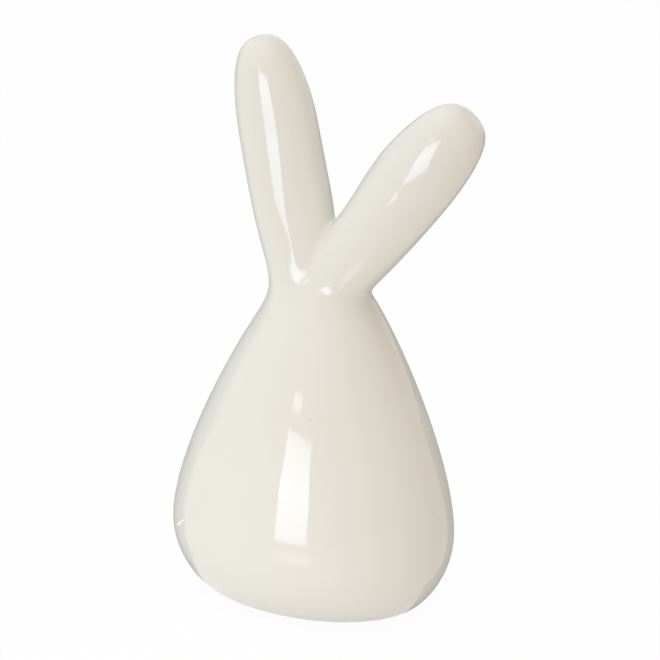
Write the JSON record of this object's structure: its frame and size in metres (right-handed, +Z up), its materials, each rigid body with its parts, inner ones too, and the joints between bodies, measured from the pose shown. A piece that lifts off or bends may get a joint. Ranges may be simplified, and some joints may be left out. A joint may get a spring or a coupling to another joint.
{
  "type": "bunny ornament",
  "caption": "Glossy cream ceramic bunny ornament with a plain oval body, one upright and one leaning ear, standing on a flat padded foot.",
  "frame": {"origin": "middle of the bounding box, on the plane of the pads' undersides, where the ornament stands", "axes": "+Z up; the ears spread along X, with the leaning ear towards +X; the front of the ornament faces -Y"},
  "size_m": [0.0826, 0.0646, 0.1594],
  "materials": {
    "glazed_ceramic": "glossy",
    "felt": "matte"
  },
  "bodies": {
    "root": {"body_shell": "glazed_ceramic", "ear_upright": "glazed_ceramic", "ear_leaning": "glazed_ceramic", "felt_pad_front_left": "felt", "felt_pad_front_right": "felt", "felt_pad_back_left": "felt", "felt_pad_back_right": "felt"}
  },
  "joints": []
}
